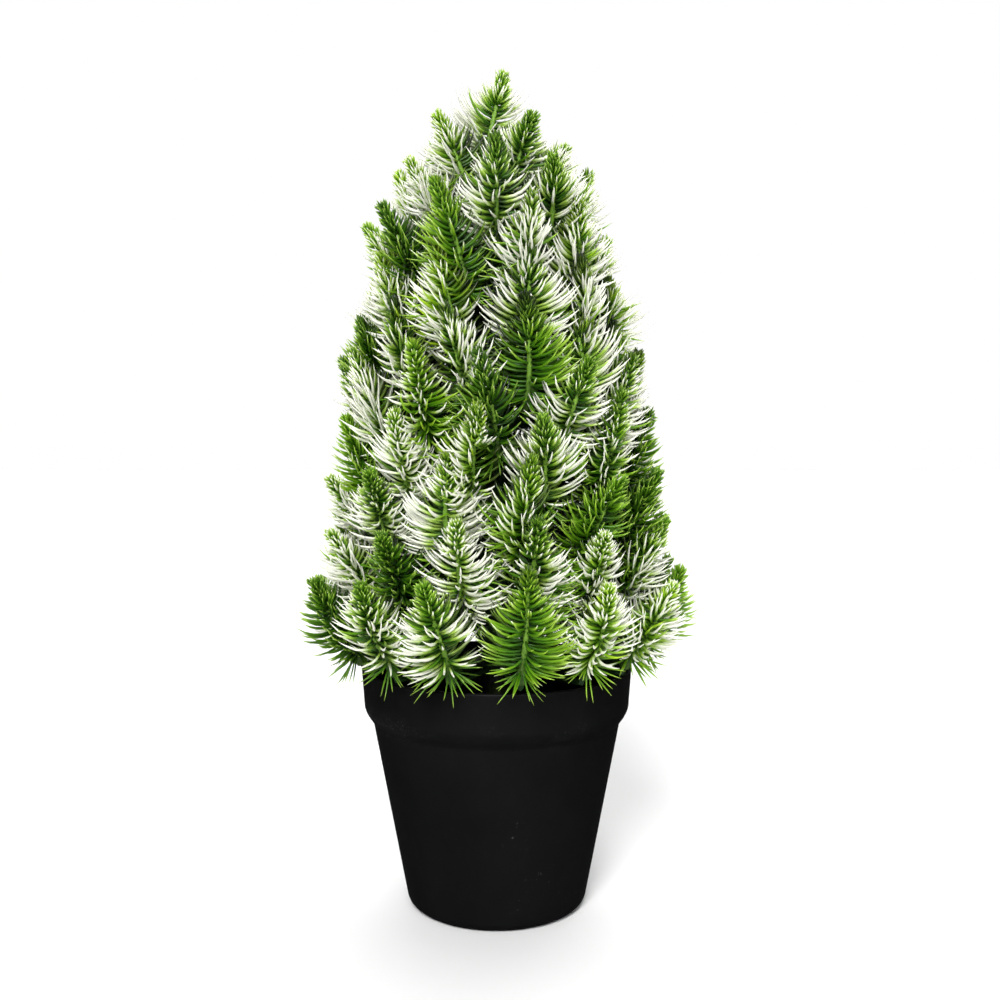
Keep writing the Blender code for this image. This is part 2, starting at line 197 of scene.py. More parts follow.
def needleMaterial():
    look = needleLook
    made, nodes, links, shader = newMaterial("pineNeedle")
    along, frosting = valuesFrom(nodes, "along"), valuesFrom(nodes, "frosting")
    # inside: how deep in the crown a point lies, which sets its painted shade
    shade, inside = valuesFrom(nodes, "shade"), valuesFrom(nodes, "inside")
    place = objectPlace(nodes)
    mottle = noiseNode(nodes, links, place, look["mottleScale"], 2.0)
    blotch = noiseNode(nodes, links, place, look["blotchScale"], 2.0)
    # green from the root to the tip
    paleGreen = tuple(0.5 * (a + b) for a, b in zip(look["midGreen"], look["tipGreen"]))
    change = swingNode(nodes, links, mottle, look["mottleGreen"], 0.0)
    upNeedle = mathNode(nodes, links, "ADD", along, change)
    green = colourRamp(nodes, links, upNeedle, [
        (0.0, look["rootGreen"]),
        (look["midAt"], look["midGreen"]),
        (look["paleAt"], paleGreen),
        (1.0, look["tipGreen"]),
    ])
    # each needle and each sprig has its own depth of green
    change = swingNode(nodes, links, blotch, look["blotchGreen"], 0.0)
    depth = mathNode(nodes, links, "ADD", shade, change)
    tint = colourRamp(nodes, links, depth, look["tints"])
    tinted = mixColours(nodes, links, 1.0, green, tint, "MULTIPLY")
    # how far inside the painted tip a point is; painted shade also takes frost paint off the inner growth
    unpainted = mathNode(nodes, links, "SUBTRACT", 1.0, frosting)
    inPaint = mathNode(nodes, links, "SUBTRACT", along, unpainted)
    inPaint = mathNode(nodes, links, "MULTIPLY_ADD", inside, -look["paintedShadeFrostLoss"], inPaint)
    change = swingNode(nodes, links, mottle, look["ragged"], 0.0)
    ragged = mathNode(nodes, links, "ADD", inPaint, change)
    edge = rangeNode(nodes, links, ragged, look["edgeRange"])
    paint = rangeNode(nodes, links, ragged, look["paintRange"])
    withEdge = mixColours(nodes, links, edge, tinted, look["frostEdge"])
    colour = mixColours(nodes, links, paint, withEdge, look["frost"])
    # painted shade: the inner growth, deep in the crown, is painted dark
    dark = mathNode(nodes, links, "POWER", inside, look["paintedShadeFall"])
    dark = mathNode(nodes, links, "MULTIPLY", dark, look["paintedShadeStrength"])
    links.new(mixColours(nodes, links, dark, colour, look["paintedShadeGreen"]), shader.inputs["Base Color"])
    rough = swingNode(nodes, links, mottle, look["mottleRoughness"], look["roughness"])
    rough = mathNode(nodes, links, "MULTIPLY_ADD", paint, look["paintRoughness"], rough)
    links.new(rough, shader.inputs["Roughness"])
    links.new(bumpFrom(nodes, links, mottle, look["bump"], look["bumpStrength"]), shader.inputs["Normal"])
    shader.inputs["Specular IOR Level"].default_value = look["specular"]
    return made


stemLook = {
    "young": (0.200, 0.400, 0.035),
    "old": (0.060, 0.130, 0.016),
    "ageing": (0.10, 0.45),  # share of the way up the sprig
    "barkScale": 650.0,
    "barkShades": ((0.3, (0.60, 0.66, 0.60)), (0.7, (1.15, 1.10, 1.05))),
    "roughness": (0.35, 0.60),
    "bump": 0.0004,
    "bumpStrength": 0.8,
}


def sprigStemMaterial():
    look = stemLook
    made, nodes, links, shader = newMaterial("sprigStem")
    bark = noiseNode(nodes, links, objectPlace(nodes), look["barkScale"], 4.0, 0.6)
    age = rangeNode(nodes, links, valuesFrom(nodes, "along"), look["ageing"])
    green = mixColours(nodes, links, age, look["old"], look["young"])
    shades = colourRamp(nodes, links, bark, look["barkShades"])
    links.new(mixColours(nodes, links, 1.0, green, shades, "MULTIPLY"), shader.inputs["Base Color"])
    links.new(rangeNode(nodes, links, bark, (0.0, 1.0), look["roughness"]), shader.inputs["Roughness"])
    links.new(bumpFrom(nodes, links, bark, look["bump"], look["bumpStrength"]), shader.inputs["Normal"])
    return made


# where the whorls hold the sprigs, as the frame has them

crownLayout = {
    "sprigsPerWhorl": (14, 14, 12, 12, 12, 12, 10, 10, 8, 6),
    "whorlTurns": (9, 0, 10, 5, 0, 0, 15, 0, 0, -10),
    "sprigsPerSpray": 3,
    "sprigLength": 0.046,
    "lowGap": 0.0055,  # stubs of the lowest whorl above the pot's rim
    "topDrop": 0.026,  # tips of the top whorl below the leader's
    "radius": 0.076,
    "fullness": 2.6,
    "roundness": 0.62,
    "flare": 0.012,
    "flareFade": 0.026,
    "tiltLow": math.radians(27),
    "tiltTop": math.radians(20),
    "leaderLean": math.radians(13),
    "leaderSide": -0.0065,
    "leaderSize": 0.92,
    "leaderLook": "frosted",
    "leaderSpread": 0.95,
    "leaderBushy": {"front": 1.0, "filling": 0.0, "rosette": 0.0},
    # by whorl: how far the tips lean in x and stand in, and how far the stems bow outwards
    "lean": ((3, 5, 7, 9), (0.0, -0.005, -0.004, 0.0)),
    "drawnIn": ((4, 5, 6, 7), (0.0, 0.009, 0.007, 0.001)),
    "skirtBow": ((0, 1), (0.0025, 0.0)),
    # by whorl: how bare the sprigs are in front, how much undergrowth, how far rosettes reach out
    "bushy": {
        "front": ((0, 1), (0.7, 1.0)),
        "filling": ((0, 1, 2, 4), (2.5, 2.1, 1.4, 1.0)),
        "rosette": ((0, 1), (0.15, 0.0)),
    },
    # by whorl: how wide the needles open, and how much that changes from sprig to sprig
    "spread": ((0, 2, 9), (1.0, 0.98, 0.96)),
    "spreadChange": 0.10,
    "tipSway": 6.5,  # how far tips wander sideways and up or down, in mm
    "swayLimit": 10.0,
    "liftLimits": (-8.0, 11.0),
    "liftUp": 0.0006,  # how a lift of one mm is shared out
    "liftIn": 0.0003,
    "sizes": (0.90, 1.10),
    "roll": 0.65,
    # painted shade: below the outer skin the needles are painted darker, fully dark at the depth below
    "skin": 0.001,  # the outer growth that stays bright
    "fullShadeWithin": 0.011,  # below that skin, where it is fully dark
    "leaderWithin": 0.01,  # the leader stands this near the middle, and has no inner side
}
treeTop = 0.400
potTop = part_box("pot")[1].z


class Whorl:
    def __init__(self, index):
        lay = crownLayout
        last = len(lay["sprigsPerWhorl"]) - 1
        low = potTop + lay["lowGap"] + lay["sprigLength"] * math.cos(lay["tiltLow"])
        high = treeTop - lay["topDrop"]
        self.tilt = lay["tiltLow"] + (lay["tiltTop"] - lay["tiltLow"]) * index / last
        tipHeight = low + (high - low) * index / last
        share = (tipHeight - low) / (treeTop - low)
        dome = lay["radius"] * (1.0 - share ** lay["fullness"]) ** lay["roundness"]
        tipRadius = dome + lay["flare"] * math.exp(-(tipHeight - low) / lay["flareFade"])
        self.height = tipHeight - lay["sprigLength"] * math.cos(self.tilt)
        self.radius = tipRadius - lay["sprigLength"] * math.sin(self.tilt)
        self.count = lay["sprigsPerWhorl"][index]
        self.turn = (index % 2) * math.pi / self.count + math.radians(lay["whorlTurns"][index])

    def outward(self, sprig):
        angle = self.turn + math.tau * sprig / self.count - math.pi / 2
        return np.array((math.cos(angle), math.sin(angle), 0.0))

    def base(self, sprig):
        return self.outward(sprig) * self.radius + np.array((0.0, 0.0, self.height))

    def axis(self, sprig):
        return self.outward(sprig) * math.sin(self.tilt) + np.array((0.0, 0.0, math.cos(self.tilt)))


# one sprig: a curved stem with rows of needles

stemMake = {
    "sides": 8,
    "rings": 22,
    "radius": 0.00125,
    "taper": (1.12, 0.62),
    "knobs": 0.13,
    "knobChange": 0.04,
    "tipGap": 0.0006,
    "tipRadius": 0.0002,
    "stubLength": 0.0085,
    "stubRadius": 0.0027,
    "stubTaper": (0.7, 0.86),  # how far up the stub, and its share of the radius there
    "stubEdge": 0.0003,
    "holeRadius": 0.0021,
    "holeDepth": 0.0064,
    "bendPower": 1.6,
    "bowPower": 0.7,
}
probe = 0.0005  # half the step that a stem's direction is measured over


class SprigLine:
    # the stem: straight through its stub, then bending to where its tip is
    def __init__(self, base, axis, outward, length, shift, bow=(0.0, 0.0, 0.0)):
        self.base = base
        self.axis = axis
        self.length = length
        self.shift = shift
        self.bow = np.array(bow)
        side = np.cross(axis, outward)
        self.out = np.cross(side / np.linalg.norm(side), axis)

    def at(self, station):
        station = np.asarray(station, float)[..., None]
        stub = stemMake["stubLength"]
        free = np.clip((station - stub) / (self.length - stub), 0.0, None)
        bent = free ** stemMake["bendPower"]
        bowed = np.sin(np.clip(free, 0.0, 1.0) ** stemMake["bowPower"] * math.pi)
        return self.base + self.axis * station + self.shift * bent + self.bow * bowed

    def along(self, station):
        step = self.at(np.asarray(station) + probe) - self.at(np.asarray(station) - probe)
        return step / np.linalg.norm(step, axis=-1, keepdims=True)

    def squareTo(self, tangent):
        # the outward and the sideways direction, square to the stem
        out = self.out - tangent * (tangent @ self.out)[:, None]
        out /= np.linalg.norm(out, axis=1, keepdims=True)
        return out, np.cross(tangent, out)


def tubeQuads(rings, sides, start=0):
    ring = np.arange(rings - 1)[:, None] * sides
    here = np.arange(sides)[None, :]
    after = (here + 1) % sides
    quads = np.stack([ring + here, ring + after, ring + sides + after, ring + sides + here], axis=-1)
    return quads.reshape(-1, 4) + start


def tubePoints(centre, radius, first, second, sides):
    turn = np.arange(sides) * math.tau / sides
    ring = first[:, None] * np.cos(turn)[None, :, None] + second[:, None] * np.sin(turn)[None, :, None]
    return (centre[:, None] + ring * radius[:, None, None]).reshape(-1, 3)


# lengths in metres, angles in degrees off the stem; a pair is the lowest and the highest
sprigMake = {
    "seed": 41,
    "rows": 21,
    "needlesPerRow": 10,
    "firstRow": 0.0080,
    "lastRow": 0.0012,  # below the stem's tip
    "rowTurn": 0.12,
    "rowHeight": 0.0006,
    "placeChange": 0.10,
    "toSides": 0.38,  # fewer needles straight out and in, more to the sides
    "facing": 0.62,  # how straight out a needle must face to be left off
    "openUpTo": 0.62,  # how far up the sprig they are left off
    "openFront": 0.58,  # how many of them are left off
    "shortFront": 0.62,  # how much shorter the rest of those are
    "lengthChange": 0.07,
    "strays": 0.10,
    # length, and how much the angles at the root and at the tip change
    "neat": (1.00, 4.0, 5.0),
    "stray": (1.08, 14.0, 20.0),
    # share of the way up the needled part, needle length, angle at the root and at the tip
    "profile": (
        (0.00, 0.0150, 102.0, 64.0),
        (0.08, 0.0215, 100.0, 50.0),
        (0.30, 0.0234, 94.0, 32.0),
        (0.48, 0.0190, 84.0, 28.0),
        (0.62, 0.0125, 72.0, 28.0),
        (0.76, 0.0078, 62.0, 32.0),
        (1.00, 0.0045, 46.0, 24.0),
    ),
    "rosette": {
        "count": 30,
        "below": (0.0002, 0.0028),
        "turnChange": 0.12,
        "length": (0.0110, 0.0155),
        "root": (84.0, 132.0),
        "straighten": (-4.0, 16.0),
    },
    # needles low on the inner side, which close the crown, and which painted shade makes dark
    "undergrowth": {
        "count": 34,
        "station": (0.0060, 0.0290),
        "turn": 1.45,
        "length": (0.0160, 0.0240),
        "root": (72.0, 118.0),
        "straighten": (0.0, 30.0),
    },
    "tuft": {
        "count": 14,
        "below": (0.0004, 0.0016),
        "turnChange": 0.20,
        "length": (0.0036, 0.0052),
        "root": (4.0, 40.0),
        "closing": (0.5, 0.9),
    },
    "spiral": 0.382,  # share of a turn from one needle to the next in a rosette or tuft
    "spreadTip": 1.5,  # a wider spread opens the tips more than the roots, by this power
}
# the height on the sprig, as a share, that stands for the rosette and undergrowth, and for the tuft
footShare = -0.1
tuftShare = 1.05


def growRows(line, rng, bushy):
    make = sprigMake
    table = np.array(make["profile"]).T
    first, last = make["firstRow"], line.length - make["lastRow"]
    count = make["needlesPerRow"]
    grown = []
    for row in range(make["rows"]):
        share = row / (make["rows"] - 1)
        length, root, tip = (np.interp(share, table[0], column) for column in table[1:])
        turn = (row % 2) * math.pi / count + rng.uniform(-make["rowTurn"], make["rowTurn"])
        for k in range(count):
            place = math.tau * k / count + turn + rng.normal(0.0, make["placeChange"])
            place += make["toSides"] * math.sin(2.0 * place) * (1.0 - share)
            facing = math.cos(place) > make["facing"] and share < make["openUpTo"]
            if facing and rng.random() < make["openFront"] * bushy["front"]:
                continue
            longer, rootChange, tipChange = make["stray" if rng.random() < make["strays"] else "neat"]
            short = make["shortFront"] * bushy["front"] * max(0.0, math.cos(place)) ** 2 * (1.0 - share)
            grown.append((
                first + (last - first) * share + rng.uniform(-make["rowHeight"], make["rowHeight"]),
                place,
                length * (1.0 - short) * rng.normal(longer, make["lengthChange"]),
                root + rng.normal(0.0, rootChange),
                tip + rng.normal(0.0, tipChange),
                share,
            ))
    return grown


def growRosette(rng, bushy):
    make = sprigMake["rosette"]
    grown = []
    for k in range(make["count"]):
        station = sprigMake["firstRow"] - rng.uniform(*make["below"])
        place = math.tau * k * sprigMake["spiral"] + rng.normal(0.0, make["turnChange"])
        reach = 1.0 + bushy["rosette"] * max(0.0, math.cos(place))
        length = rng.uniform(*make["length"]) * reach
        root = rng.uniform(*make["root"])
        grown.append((station, place, length, root, root - rng.uniform(*make["straighten"]), footShare))
    return grown


def growUndergrowth(rng, bushy):
    make = sprigMake["undergrowth"]
    grown = []
    for k in range(round(make["count"] * bushy["filling"])):
        station = rng.uniform(*make["station"])
        place = math.pi + rng.uniform(-make["turn"], make["turn"])
        length = rng.uniform(*make["length"])
        root = rng.uniform(*make["root"])
        grown.append((station, place, length, root, root - rng.uniform(*make["straighten"]), footShare))
    return grown


def growTuft(line, rng):
    make = sprigMake["tuft"]
    grown = []
    for k in range(make["count"]):
        station = line.length - rng.uniform(*make["below"])
        place = math.tau * k * sprigMake["spiral"] + rng.normal(0.0, make["turnChange"])
        length = rng.uniform(*make["length"])
        root = rng.uniform(*make["root"])
        grown.append((station, place, length, root, root * rng.uniform(*make["closing"]), tuftShare))
    return grown


paintMake = {
    "heights": (footShare, 0.0, 0.45, 0.75, 1.0),  # where up the sprig its look gives the painted share
    "least": 0.01,
    "change": 0.16,
    "sprigShade": 0.12,
    "needleShade": 0.09,
    "footShade": (0.55, 0.08),
}


def paintNeedles(heights, look, rng):
    # the painted share and the depth of green of each needle
    make = paintMake
    count = len(heights)
    reach = np.interp(heights, make["heights"], look["frost"])
    frosts = np.where(reach > make["least"], reach * rng.normal(1.0, make["change"], count), 0.0)
    frosts[rng.random(count) < look["bare"]] = 0.0
    shades = look["shade"] + rng.normal(0.0, make["sprigShade"])
    shades = shades + rng.normal(0.0, make["needleShade"], count)
    scale, lift = make["footShade"]
    return frosts, np.clip(np.where(heights < 0.0, shades * scale + lift, shades), 0.0, 1.0)


needleMake = {
    "sides": 4,
    "section": (0.70, 0.95, 1.0, 0.92, 0.66, 0.10),  # thickness from the root to the tip
    "width": 0.00116,  # round the stem
    "depth": 0.00140,  # along the stem
    "thickChange": 0.08,
    "curl": 0.10,
    "rootOut": 0.0004,  # how far out of the stem's middle the root is
    "footFineness": 0.74,
    "shortLengths": (0.004, 0.012),  # between these, shorter needles are also finer
    "shortWidth": (0.72, 1.0),
    "shortDepth": (0.85, 1.0),
}


def sprigNeedles(line, rng, look, spread, bushy):
    grown = growRows(line, rng, bushy) + growRosette(rng, bushy)
    grown += growUndergrowth(rng, bushy) + growTuft(line, rng)
    stations, places, lengths, roots, tips, heights = np.array(grown).T
    opened = np.where(heights > 0.0, spread, 1.0)
    roots = np.radians(roots) * opened
    tips = np.radians(tips) * opened ** sprigMake["spreadTip"]
    frosts, shades = paintNeedles(heights, look, rng)

    make = needleMake
    count = len(stations)
    tangent = line.along(stations)
    out, side = line.squareTo(tangent)
    radial = out * np.cos(places)[:, None] + side * np.sin(places)[:, None]
    across = np.cross(tangent, radial)
    curl = rng.normal(0.0, make["curl"], count)
    fine = np.where(heights < 0.0, make["footFineness"], 1.0)
    width = make["width"] * fine * rng.normal(1.0, make["thickChange"], count)
    width *= np.interp(lengths, make["shortLengths"], make["shortWidth"])
    thick = make["depth"] * fine * rng.normal(1.0, make["thickChange"], count)
    thick *= np.interp(lengths, make["shortLengths"], make["shortDepth"])

    # each needle bends evenly from its angle at the root to its angle at the tip
    sides, rings = make["sides"], len(make["section"])
    s = np.linspace(0.0, 1.0, rings)
    point = line.at(stations) + radial * make["rootOut"]
    found = []
    for i, share in enumerate(make["section"]):
        if i:
            middle = (s[i] + s[i - 1]) / 2
            bend = (roots + (tips - roots) * middle)[:, None]
            step = tangent * np.cos(bend) + radial * np.sin(bend)
            step += across * (curl * middle * 2.0)[:, None]
            point = point + step * (lengths / (rings - 1))[:, None]
        bend = (roots + (tips - roots) * s[i])[:, None]
        up = radial * np.cos(bend) - tangent * np.sin(bend)
        wide = across * (0.5 * width * share)[:, None]
        deep = up * (0.5 * thick * share)[:, None]
        found.append(np.stack([point + wide, point + deep, point - wide, point - deep], axis=1))
    points = np.stack(found, axis=1).reshape(-1, 3)  # needle, ring, side
    perNeedle = rings * sides
    tipCap = np.arange(perNeedle - sides, perNeedle)[None]
    each = np.concatenate([tubeQuads(rings, sides), tipCap])
    quads = (each[None] + (np.arange(count) * perNeedle)[:, None, None]).reshape(-1, sides)
    along = np.tile(np.repeat(s, sides), count)
    return (points, quads, along), np.repeat(frosts, perNeedle), np.repeat(shades, perNeedle)


def depthInside(line, points):
    # painted shade: 0 on the outer face of the crown, and 1 well behind the sprig that the points belong to,
    # where it is painted fully dark
    stand = math.hypot(line.base[0], line.base[1])
    if stand < crownLayout["leaderWithin"]:
        return np.zeros(len(points))
    lean = math.hypot(line.axis[0], line.axis[1]) / line.axis[2]
    face = stand + lean * (points - line.base)[:, 2]
    behind = face - np.hypot(points[:, 0], points[:, 1])
    return np.clip((behind - crownLayout["skin"]) / crownLayout["fullShadeWithin"], 0.0, 1.0)


def sprigStem(line, rng):
    make = stemMake
    count = make["rings"]
    hole, stub, length = make["holeRadius"], make["stubRadius"], make["stubLength"]
    upStub, narrowed = make["stubTaper"]
    section = [(make["holeDepth"], hole), (0.0, hole), (0.0, stub - make["stubEdge"])]
    section += [(make["stubEdge"], stub), (length * upStub, stub * narrowed)]
    stations = np.linspace(length, line.length - make["tipGap"], count)
    knobs = 1.0 + make["knobs"] * np.cos(np.arange(count) * math.pi)
    knobs += rng.normal(0.0, make["knobChange"], count)
    radii = make["radius"] * np.linspace(*make["taper"], count) * knobs
    section += list(zip(stations, radii)) + [(line.length, make["tipRadius"])]
    station, radius = np.array(section).T
    out, side = line.squareTo(line.along(np.maximum(station, probe)))
    points = tubePoints(line.at(station), radius, out, side, make["sides"])
    return points, tubeQuads(len(section), make["sides"]), np.repeat(station / line.length, make["sides"])


# the moulded bar between two sprigs of one spray

barMake = {
    "sides": 8,
    "rings": 7,
    "station": 0.0105,
    "sag": 0.0010,
    "radius": 0.0012,
    "flare": 0.0005,
    "age": 0.05,  # as old as the stem is at this share of its length
}


def joinBar(first, second):
    make = barMake
    start, end = first.at(make["station"]), second.at(make["station"])
    share = np.linspace(0.0, 1.0, make["rings"])
    centre = start + (end - start) * share[:, None]
    centre[:, 2] -= make["sag"] * np.sin(share * math.pi)
    run = (end - start) / np.linalg.norm(end - start)
    up = np.cross(run, first.out + second.out)
    up /= np.linalg.norm(up)
    radius = make["radius"] + make["flare"] * np.abs(2.0 * share - 1.0) ** 2
    points = tubePoints(centre, radius, up[None], np.cross(up, run)[None], make["sides"])
    return points, tubeQuads(make["rings"], make["sides"]), np.full(len(points), make["age"])


# frost: painted share of a needle at the foot, low, middle, upper part and tip of the sprig
sprigLooks = {
    "frosted": {"frost": (0.02, 0.64, 0.66, 0.38, 0.20), "bare": 0.04, "shade": 0.50},
    "white": {"frost": (0.10, 0.74, 0.77, 0.52, 0.28), "bare": 0.02, "shade": 0.62},
    "lime": {"frost": (0.02, 0.57, 0.61, 0.42, 0.30), "bare": 0.06, "shade": 0.84},
    "light": {"frost": (0.00, 0.36, 0.46, 0.30, 0.14), "bare": 0.20, "shade": 0.60},
    "green": {"frost": (0.00, 0.14, 0.20, 0.12, 0.00), "bare": 0.36, "shade": 0.44},
    "deep": {"frost": (0.00, 0.64, 0.62, 0.16, 0.00), "bare": 0.10, "shade": 0.20},
    "dark": {"frost": (0.00, 0.06, 0.10, 0.00, 0.00), "bare": 0.75, "shade": 0.16},
}
lookShares = {
    "frosted": 0.30,
    "white": 0.18,
    "lime": 0.18,
    "light": 0.10,
    "green": 0.06,
    "deep": 0.13,
    "dark": 0.05,
}

# sprigs of the front set one by one, as (whorl, sprig): look, tip moved right and up in mm, size
setByHand = {
    (1, 0): ("green", 0, 11, 1.04),
    (1, 1): ("lime", -3, 1, 1.00),
    (1, 2): ("lime", 4, -4, 0.98),
    (1, 3): ("green", 3, -1, 1.00),
    (1, 13): ("deep", -5, 2, 1.02),
    (1, 12): ("deep", 4, -2, 1.04),
    (1, 11): ("dark", 0, -4, 1.00),
    (2, 0): ("deep", 0, 7, 1.02),
    (2, 1): ("lime", -6, -3, 1.00),
    (2, 2): ("deep", 8, 0, 1.04),
    (2, 3): ("deep", 3, 1, 1.00),
    (2, 13): ("white", 1, 5, 1.04),
    (2, 12): ("dark", 3, -4, 1.00),
    (2, 11): ("white", -2, -6, 1.00),
    (3, 0): ("light", 2, 10, 1.04),
    (3, 1): ("dark", 5, -3, 1.00),
    (3, 2): ("dark", 5, 0, 1.00),
    (3, 11): ("frosted", 6, 10, 1.06),
    (3, 10): ("deep", 8, -1, 1.04),
    (3, 9): ("white", 1, -6, 1.00),
    (4, 0): ("deep", -6, 2, 1.00),
    (4, 1): ("light", -5, 9, 1.16),
    (4, 2): ("dark", 1, 8, 1.00),
    (4, 11): ("lime", 5, 8, 1.02),
    (4, 10): ("white", 5, 4, 1.02),
    (4, 9): ("green", 3, 2, 1.00),
    (5, 0): ("dark", -5, 9, 1.00),
    (5, 1): ("deep", 7, 0, 1.04),
    (5, 2): ("frosted", 7, 8, 1.02),
    (5, 11): ("light", 3, 9, 1.08),
    (6, 0): ("green", 2, 3, 1.10),
    (6, 1): ("lime", -6, 8, 1.02),
    (6, 11): ("frosted", -2, 2, 1.00),
    (6, 10): ("deep", 0, 9, 1.02),
    (6, 9): ("dark", -2, 0, 1.00),
    (7, 0): ("deep", 5, 2, 1.04),
    (7, 9): ("lime", -3, 8, 1.04),
    (7, 1): ("white", -2, 3, 1.00),
    (8, 0): ("white", 3, 6, 1.00),
    (8, 1): ("lime", -6, 4, 1.02),
    (8, 9): ("green", -6, 9, 1.10),
    (8, 8): ("dark", -6, 4, 1.02),
    (9, 0): ("deep", 2, 9, 1.02),
    (9, 1): ("deep", -8, -2, 1.00),
    (9, 7): ("white", -4, -5, 1.04),
    (10, 0): ("deep", 6, 0, 0.92),
    (10, 5): ("frosted", -9, 1, 0.96),
    (10, 1): ("frosted", 5, -8, 0.84),
    (10, 4): ("white", -4, -4, 0.86),
    (10, 2): ("deep", -2, -2, 0.90),
}


def pickLook(rng):
    return str(rng.choice(list(lookShares), p=list(lookShares.values())))


def makeSpray(name, nodeName, lines, looks, spreads, bushy, rng, materials):
    parts = []  # points, quads and place along, then material, paint, shade and depth inside
    for line, look, spread in zip(lines, looks, spreads):
        needles, frosts, shades = sprigNeedles(line, rng, sprigLooks[look], spread, bushy)
        parts.append((*needles, 0, frosts, shades, depthInside(line, needles[0])))
        stem = sprigStem(line, rng)
        none = np.zeros(len(stem[0]))
        parts.append((*stem, 1, none, none, depthInside(line, stem[0])))
    for first, second in zip(lines, lines[1:]):
        bar = joinBar(first, second)
        none = np.zeros(len(bar[0]))
        parts.append((*bar, 1, none, none, depthInside(first, bar[0])))
    points, quads, along, kinds, frosts, shades, paintedShadeDepths = zip(*parts)
    starts = np.cumsum([0] + [len(part) for part in points[:-1]])
    quads = [part + start for part, start in zip(quads, starts)]
    mesh = newMesh(name, np.concatenate(points), np.concatenate(quads), materials)
    kinds = np.repeat(kinds, [len(part) for part in quads]).astype(np.int32)
    mesh.polygons.foreach_set("material_index", kinds)
    addValues(mesh, "along", np.concatenate(along))
    addValues(mesh, "frosting", np.concatenate(frosts))
    addValues(mesh, "shade", np.concatenate(shades))
    # inside: the painted shade of each point, darker deeper in the crown
    addValues(mesh, "inside", np.concatenate(paintedShadeDepths))
    addPiece(name, mesh, [nodeName])


def placeSprig(whorl, index, sprig, rng):
    lay = crownLayout
    outward = whorl.outward(sprig)
    side = np.array((-outward[1], outward[0], 0.0))
    drawn = (pickLook(rng), *rng.normal(0.0, lay["tipSway"], 2), rng.uniform(*lay["sizes"]))
    roll = rng.normal(0.0, lay["roll"])
    spread = np.interp(index, *lay["spread"]) * rng.normal(1.0, lay["spreadChange"])
    look, sideways, lift, size = setByHand.get((index + 1, sprig), drawn)
    lift = np.clip(lift, *lay["liftLimits"])
    face = outward * math.cos(roll) + side * math.sin(roll)
    shift = side * np.clip(sideways, -lay["swayLimit"], lay["swayLimit"]) * 0.001
    shift += np.array((0.0, 0.0, 1.0)) * lift * lay["liftUp"]
    shift -= outward * lift * lay["liftIn"]
    shift[0] += np.interp(index, *lay["lean"])
    shift -= outward * np.interp(index, *lay["drawnIn"])
    bow = outward * np.interp(index, *lay["skirtBow"])
    line = SprigLine(whorl.base(sprig), whorl.axis(sprig), face, lay["sprigLength"] * size, shift, bow)
    return line, look, spread


def makeCrown():
    lay = crownLayout
    materials = [needleMaterial(), sprigStemMaterial()]
    for index, count in enumerate(lay["sprigsPerWhorl"]):
        whorl = Whorl(index)
        bushy = {key: np.interp(index, *byWhorl) for key, byWhorl in lay["bushy"].items()}
        groups = math.ceil(count / lay["sprigsPerSpray"])
        edges = [round(count * i / groups) for i in range(groups + 1)]
        for group in range(groups):
            rng = np.random.default_rng(sprigMake["seed"] * 1000 + index * 20 + group)
            sprigs = range(edges[group], edges[group + 1])
            placed = [placeSprig(whorl, index, sprig, rng) for sprig in sprigs]
            name = f"spray_{index + 1:02d}_{group + 1}"
            makeSpray("pine_" + name, name, *zip(*placed), bushy, rng, materials)
    print("whorls:", sum(lay["sprigsPerWhorl"]), "sprigs")
    # the leader, at the top
    lean = lay["leaderLean"]
    axis = np.array((math.sin(lean), 0.0, math.cos(lean)))
    base = np.array((lay["leaderSide"], 0.0, treeTop - lay["sprigLength"] * axis[2]))
    length = lay["sprigLength"] * lay["leaderSize"]
    line = SprigLine(base, axis, np.array((0.0, -1.0, 0.0)), length, np.zeros(3))
    rng = np.random.default_rng(sprigMake["seed"])
    makeSpray("pine_leader", "leader_sprig", [line], [lay["leaderLook"]], [lay["leaderSpread"]],
              lay["leaderBushy"], rng, materials)
    print("leader made")


makeCrown()


# the pot, turned from its section

potMake = {
    "segments": 160,
    "bandHeight": 0.0258,
    "stepHeight": 0.0087,
    "stepDepth": 0.0043,
    "bandDraft": 0.0012,
    "baseRadius": 0.0428,
    "baseRound": 0.0058,
    "wall": 0.0022,
    "lipRound": 0.0007,
    "footWidth": 0.0040,
    "footRecess": 0.0018,
    "recessEdge": (1.3, 0.7),  # where the recess starts to curve down and is halfway, in depths from the ring
    "ringEdge": (0.0003, 0.0002, 0.0004),
    "ringFlat": 0.6,
    "lipEdge": (0.0001, 0.0003),
    "innerRound": 0.6,  # of the lip's rounding, on its inner side
    "bodyShares": (0.1, 0.3, 0.5, 0.7, 0.85, 0.95),
    "bandShares": (0.15, 0.35, 0.55, 0.75, 0.92),
    "stepPoints": 12,
    "roundPoints": 9,
    "lipPoints": 5,
    "bodyTop": 0.0012,  # gap between the straight wall and the crease, and between the band and the lip
    "fillet": 0.0008,
    "innerWallHeight": 0.05,
    # how far the moulding wanders from round, where it is steady, and its waves round the pot
    "wobble": 0.00022,
    "steadyBelow": 0.02,
    "steadyWithin": 0.01,
    "waves": ((2, 1.0, 0.6), (3, 0.6, 2.1), (7, 0.35, 0.3)),
    "waveScale": 1.6,
}


def arcPoints(centreX, centreZ, radius, start, end, steps):
    angles = np.radians(np.linspace(start, end, steps + 1))
    return [(centreX + radius * math.cos(a), centreZ + radius * math.sin(a)) for a in angles]


